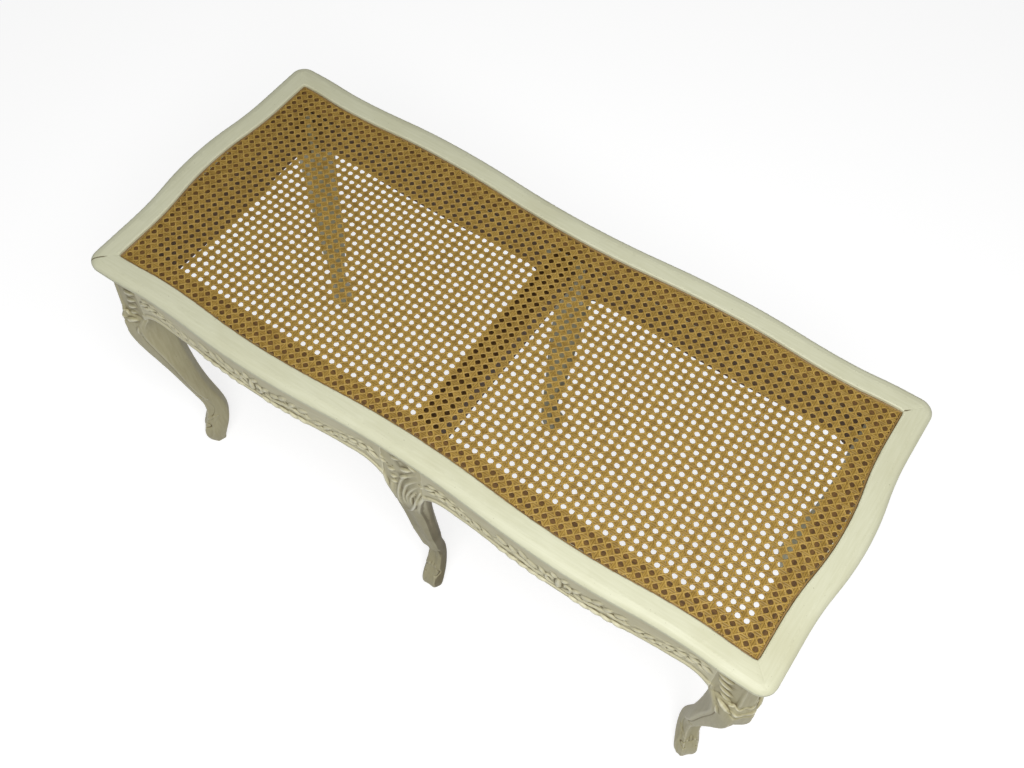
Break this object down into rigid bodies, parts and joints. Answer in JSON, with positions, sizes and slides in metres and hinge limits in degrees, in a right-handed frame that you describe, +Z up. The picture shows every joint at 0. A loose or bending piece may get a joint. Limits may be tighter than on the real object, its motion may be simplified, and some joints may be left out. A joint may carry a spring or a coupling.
{
  "type": "painted bench",
  "caption": "Long backless bench: cane seat in a wavy moulded frame, serpentine aprons and cabriole legs with hollow fronts, for sitting on or for the foot of a bed.",
  "frame": {"origin": "on the floor, under the middle of the seat", "axes": "+X along the length, -Y towards the front in the picture, +Z up"},
  "size_m": [1.01, 0.439, 0.5],
  "materials": {
    "painted_wood": "cream paint, satin, rubbed and worn at the edges, with a grey-brown wash in the hollows",
    "bare_wood": "bare beech, planed",
    "cane": "glossy cane, golden brown",
    "reed": "tan reed, matt"
  },
  "bodies": {
    "root": {"apron_back_left": "painted_wood", "apron_back_right": "painted_wood", "apron_end_left": "painted_wood", "apron_end_right": "painted_wood", "apron_front_left": "painted_wood", "apron_front_right": "painted_wood", "cane_panel": "cane", "centre_rail": "bare_wood", "frame_tongues": "bare_wood", "leg_back_left": "painted_wood", "leg_back_middle": "painted_wood", "leg_back_right": "painted_wood", "leg_front_left": "painted_wood", "leg_front_middle": "painted_wood", "leg_front_right": "painted_wood", "mitre_keys": "bare_wood", "seat_reed_back": "reed", "seat_reed_front": "reed", "seat_reed_left": "reed", "seat_reed_right": "reed", "top_rail_back": "painted_wood", "top_rail_front": "painted_wood", "top_rail_left": "painted_wood", "top_rail_right": "painted_wood"}
  },
  "joints": []
}
